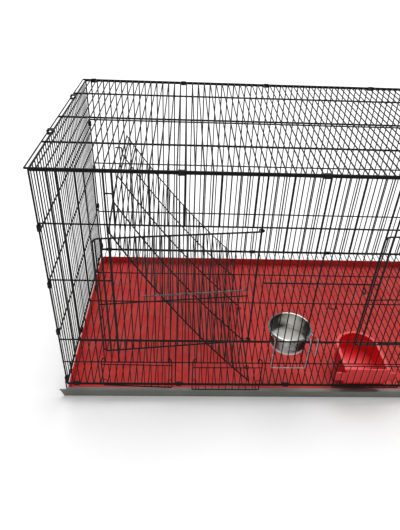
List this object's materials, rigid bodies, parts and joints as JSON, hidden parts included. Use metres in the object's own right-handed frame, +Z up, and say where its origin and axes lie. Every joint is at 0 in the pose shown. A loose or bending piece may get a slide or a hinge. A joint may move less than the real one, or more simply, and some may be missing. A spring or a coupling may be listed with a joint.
{
  "type": "two-compartment cage",
  "caption": "Long welded-wire cage with hinged front doors, slide bolts, feed flaps, a leaning wire divider, a hung bowl, a feeder cup and a slide-out tray.",
  "frame": {"origin": "middle of the wire box's footprint, on the ground plane under the tray and the legs", "axes": "+X along the cage to the right as seen from the front, +Y from the front to the back, +Z up"},
  "size_m": [1.124, 0.6183, 0.5882],
  "materials": {
    "black_wire": "satin black powder coat",
    "bright_wire": "bright plated wire",
    "stainless": "polished, lightly brushed",
    "red_plastic": "glossy moulded",
    "red_liner": "matt with fine grain",
    "grey_sheet": "dull galvanised grey"
  },
  "bodies": {
    "cage": {"back_panel": "black_wire", "top_panel": "black_wire", "floor_panel": "black_wire", "left_side_panel": "black_wire", "right_side_panel": "black_wire", "front_upper_mesh": "black_wire", "front_left_mesh": "black_wire", "front_middle_mesh": "black_wire", "front_right_mesh": "black_wire", "left_sill_mesh": "black_wire", "right_sill_mesh": "black_wire", "front_foot_wires": "black_wire", "front_bottom_rail": "black_wire", "front_flap_bar": "black_wire", "left_hinge_post": "black_wire", "right_hinge_post": "black_wire", "latch_keepers": "black_wire", "front_hook": "black_wire", "leg_loops": "black_wire", "bowl_holder": "bright_wire", "divider_foot_rings": "black_wire", "front_top_clips": "black_wire", "back_top_clips": "black_wire", "side_top_clips": "black_wire", "front_bottom_clips": "black_wire", "back_bottom_clips": "black_wire", "side_bottom_clips": "black_wire", "front_corner_clips": "black_wire", "back_corner_clips": "black_wire"},
    "left_door": {"left_door": "black_wire"},
    "right_door": {"right_door": "black_wire"},
    "left_bolt": {"left_latch_bolt": "bright_wire"},
    "right_bolt": {"right_latch_bolt": "bright_wire"},
    "left_outer_flap": {"left_outer_flap": "black_wire"},
    "left_inner_flap": {"left_inner_flap": "black_wire"},
    "right_inner_flap": {"right_inner_flap": "black_wire"},
    "right_outer_flap": {"right_outer_flap": "black_wire"},
    "divider": {"divider_panel": "black_wire"},
    "tray": {"tray_pan": "grey_sheet", "tray_liner": "red_liner"},
    "bowl": {"bowl": "stainless"},
    "feeder": {"feeder_cup": "red_plastic"}
  },
  "joints": [
    {"name": "left_door_hinge", "type": "hinge", "parent": "cage", "child": "left_door", "pos_m": [-0.128, -0.2868, 0.33], "axis": [0, 0, 1], "range_deg": [-6.5, 110]},
    {"name": "left_bolt_slide", "type": "slide", "parent": "left_door", "child": "left_bolt", "axis": [-0.9936, -0.1132, 0], "range_m": [0, 0.11]},
    {"name": "right_door_hinge", "type": "hinge", "parent": "cage", "child": "right_door", "pos_m": [0.416, -0.2868, 0.33], "axis": [0, 0, 1], "range_deg": [-2, 114.5]},
    {"name": "right_bolt_slide", "type": "slide", "parent": "right_door", "child": "right_bolt", "axis": [-0.9994, -0.0349, 0], "range_m": [0, 0.11]},
    {"name": "left_outer_flap_hinge", "type": "hinge", "parent": "cage", "child": "left_outer_flap", "pos_m": [0, -0.2868, 0.114], "axis": [-1, 0, 0], "range_deg": [0, 85]},
    {"name": "left_inner_flap_hinge", "type": "hinge", "parent": "cage", "child": "left_inner_flap", "pos_m": [0, -0.2868, 0.114], "axis": [-1, 0, 0], "range_deg": [0, 85]},
    {"name": "right_inner_flap_hinge", "type": "hinge", "parent": "cage", "child": "right_inner_flap", "pos_m": [0, -0.2868, 0.114], "axis": [-1, 0, 0], "range_deg": [0, 85]},
    {"name": "right_outer_flap_hinge", "type": "hinge", "parent": "cage", "child": "right_outer_flap", "pos_m": [0, -0.2868, 0.114], "axis": [-1, 0, 0], "range_deg": [0, 85]},
    {"name": "divider_tilt", "type": "hinge", "parent": "cage", "child": "divider", "pos_m": [-0.112, 0, 0.0423], "axis": [0, 1, 0], "range_deg": [-12, 38]},
    {"name": "tray_slide", "type": "slide", "parent": "cage", "child": "tray", "axis": [0, -1, 0], "range_m": [0, 0.55]},
    {"name": "bowl_lift", "type": "slide", "parent": "cage", "child": "bowl", "axis": [0, 0, 1], "range_m": [0, 0.1]},
    {"name": "feeder_lift", "type": "slide", "parent": "cage", "child": "feeder", "axis": [0, 0, 1], "range_m": [0, 0.12]}
  ]
}
